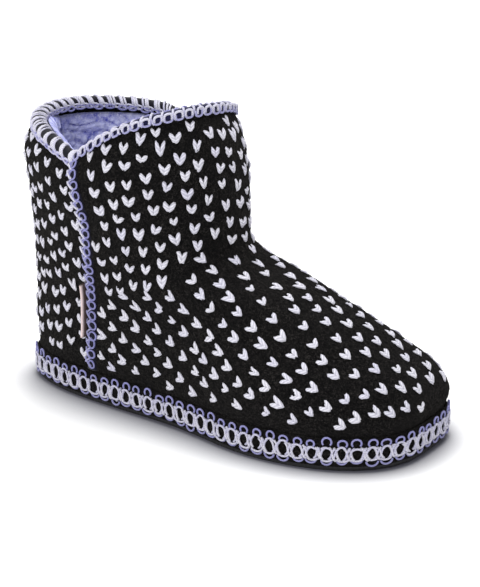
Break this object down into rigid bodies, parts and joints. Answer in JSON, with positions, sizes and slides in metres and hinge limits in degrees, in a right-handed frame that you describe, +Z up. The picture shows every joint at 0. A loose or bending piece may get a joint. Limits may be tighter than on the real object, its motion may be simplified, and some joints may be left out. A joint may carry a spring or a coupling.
{
  "type": "bootie slipper",
  "caption": "Knitted ankle bootie slipper for the right foot, with a crocheted edge at the collar, side seams and sole, a fleecy lining and a thin flat outsole.",
  "frame": {"origin": "middle of the slipper's length and width, on the floor it stands on", "axes": "+X from heel to toe, +Y towards the big toe side, +Z up"},
  "size_m": [0.262, 0.1132, 0.186],
  "materials": {
    "black_knit": "matte, fuzzy black knit",
    "sherpa_lining": "matte periwinkle fleece",
    "crochet_yarn": "matte lavender and white yarn",
    "woven_label": "matte woven tape",
    "foam": "matte closed-cell foam",
    "outsole_rubber": "matte, finely studded"
  },
  "bodies": {
    "root": {"upper": "black_knit", "insole": "sherpa_lining", "midsole": "foam", "outsole": "outsole_rubber", "sole_band": "crochet_yarn", "collar_trim_front": "crochet_yarn", "collar_trim_rear": "crochet_yarn", "side_trim_lateral": "crochet_yarn", "side_trim_medial": "crochet_yarn", "side_label": "woven_label"}
  },
  "joints": []
}
